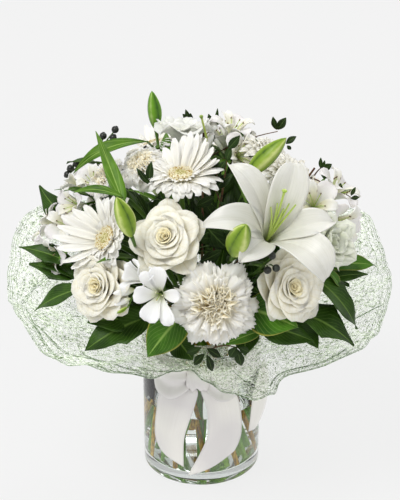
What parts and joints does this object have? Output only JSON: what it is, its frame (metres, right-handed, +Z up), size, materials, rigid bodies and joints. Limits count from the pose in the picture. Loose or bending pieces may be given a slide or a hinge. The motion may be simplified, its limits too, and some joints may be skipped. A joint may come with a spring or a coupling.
{
  "type": "floral table centerpiece",
  "caption": "Hand-tied round bouquet of white flowers and dark foliage with a web wrap, standing in a clear cylinder vase of water with a satin ribbon.",
  "frame": {"origin": "middle of the vase's foot, on the surface it stands on", "axes": "+Z up along the vase's axis, -Y towards the front, where the ribbon is tied, +X to the right seen from the front"},
  "size_m": [0.3892, 0.3304, 0.388],
  "materials": {
    "clear_glass": "clear soda glass, polished",
    "clear_water": "clear water",
    "jute_cord": "twisted natural cord",
    "green_web": "open web of fine looped threads, pale green",
    "ivory_satin": "satin ribbon, soft sheen",
    "fresh_stem": "fresh green stem",
    "lily_green": "waxy yellow-green stem, bud and leaf",
    "dark_leaf": "glossy dark green leaf",
    "dark_berry": "near-black berry on a thin twig",
    "cream_petal": "soft cream-white petals",
    "white_petal": "soft white petals"
  },
  "bodies": {
    "root": {"alstroemeria_back": "white_petal", "alstroemeria_left": "white_petal", "alstroemeria_right": "white_petal", "alstroemeria_top": "white_petal", "alstroemeria_upper_left": "white_petal", "berries_front": "dark_berry", "berries_left": "dark_berry", "bouquet_tie": "jute_cord", "carnation_back": "white_petal", "carnation_far_left": "white_petal", "carnation_front_head": "white_petal", "carnation_front_stem": "fresh_stem", "carnation_upper_left": "white_petal", "chrysanthemum_back": "white_petal", "chrysanthemum_right": "white_petal", "chrysanthemum_top_right": "white_petal", "foliage_back_left": "dark_leaf", "foliage_back_right": "dark_leaf", "foliage_front": "dark_leaf", "foliage_front_left": "dark_leaf", "foliage_front_right": "dark_leaf", "foliage_left": "dark_leaf", "foliage_left_back": "dark_leaf", "foliage_right": "dark_leaf", "foliage_right_front": "dark_leaf", "freesia": "white_petal", "gerbera_back": "cream_petal", "gerbera_left_head": "cream_petal", "gerbera_left_stem": "fresh_stem", "gerbera_top_head": "cream_petal", "gerbera_top_stem": "fresh_stem", "lily_bloom": "white_petal", "lily_bud_left": "lily_green", "lily_bud_top": "lily_green", "lily_stem_with_buds": "lily_green", "lisianthus_back": "white_petal", "lisianthus_right": "white_petal", "lisianthus_top": "white_petal", "ribbon_band": "ivory_satin", "ribbon_knot": "ivory_satin", "ribbon_loop_left": "ivory_satin", "ribbon_loop_right": "ivory_satin", "ribbon_tail_left": "ivory_satin", "ribbon_tail_right": "ivory_satin", "ribbon_tail_side": "ivory_satin", "rose_back": "cream_petal", "rose_centre_head": "cream_petal", "rose_centre_stem": "fresh_stem", "rose_left_head": "cream_petal", "rose_left_stem": "fresh_stem", "rose_right_head": "cream_petal", "rose_right_stem": "fresh_stem", "sprig_centre": "dark_leaf", "sprig_front": "dark_leaf", "sprig_right": "dark_leaf", "sprig_top": "dark_leaf", "vase": "clear_glass", "water": "clear_water", "web_wrap": "green_web"}
  },
  "joints": []
}
